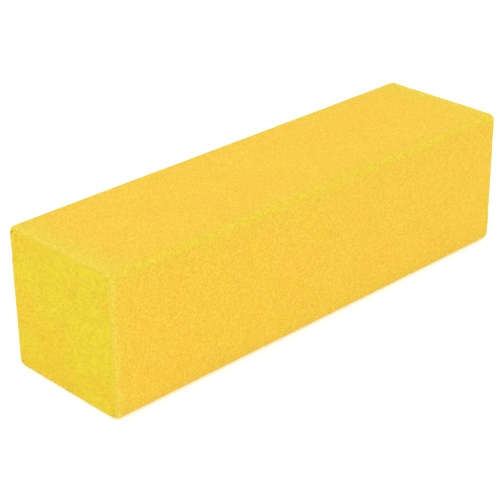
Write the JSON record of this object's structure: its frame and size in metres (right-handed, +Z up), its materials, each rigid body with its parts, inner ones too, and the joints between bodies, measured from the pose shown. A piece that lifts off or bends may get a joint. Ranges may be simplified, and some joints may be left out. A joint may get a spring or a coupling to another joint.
{
  "type": "nail buffer block",
  "caption": "Golden yellow nail buffer block: a square bar of soft foam wrapped in fine abrasive sheet.",
  "frame": {"origin": "middle of the block's underside, on the surface that the block rests on", "axes": "+X along the block from one cut end to the other, +Z up, +Y across towards the long edge that has the seam below"},
  "size_m": [0.092, 0.026, 0.026],
  "materials": {
    "foam": "fine open-cell foam, sawn face, matt lemon yellow",
    "adhesive": "thin dried glue, slightly glossy amber",
    "backing": "latex-saturated backing, matt pale cream",
    "abrasive": "fine grit in resin, matt golden yellow"
  },
  "bodies": {
    "root": {"foam_core": "foam", "adhesive_film": "adhesive", "backing_sheet": "backing", "abrasive_coat": "abrasive"}
  },
  "joints": []
}
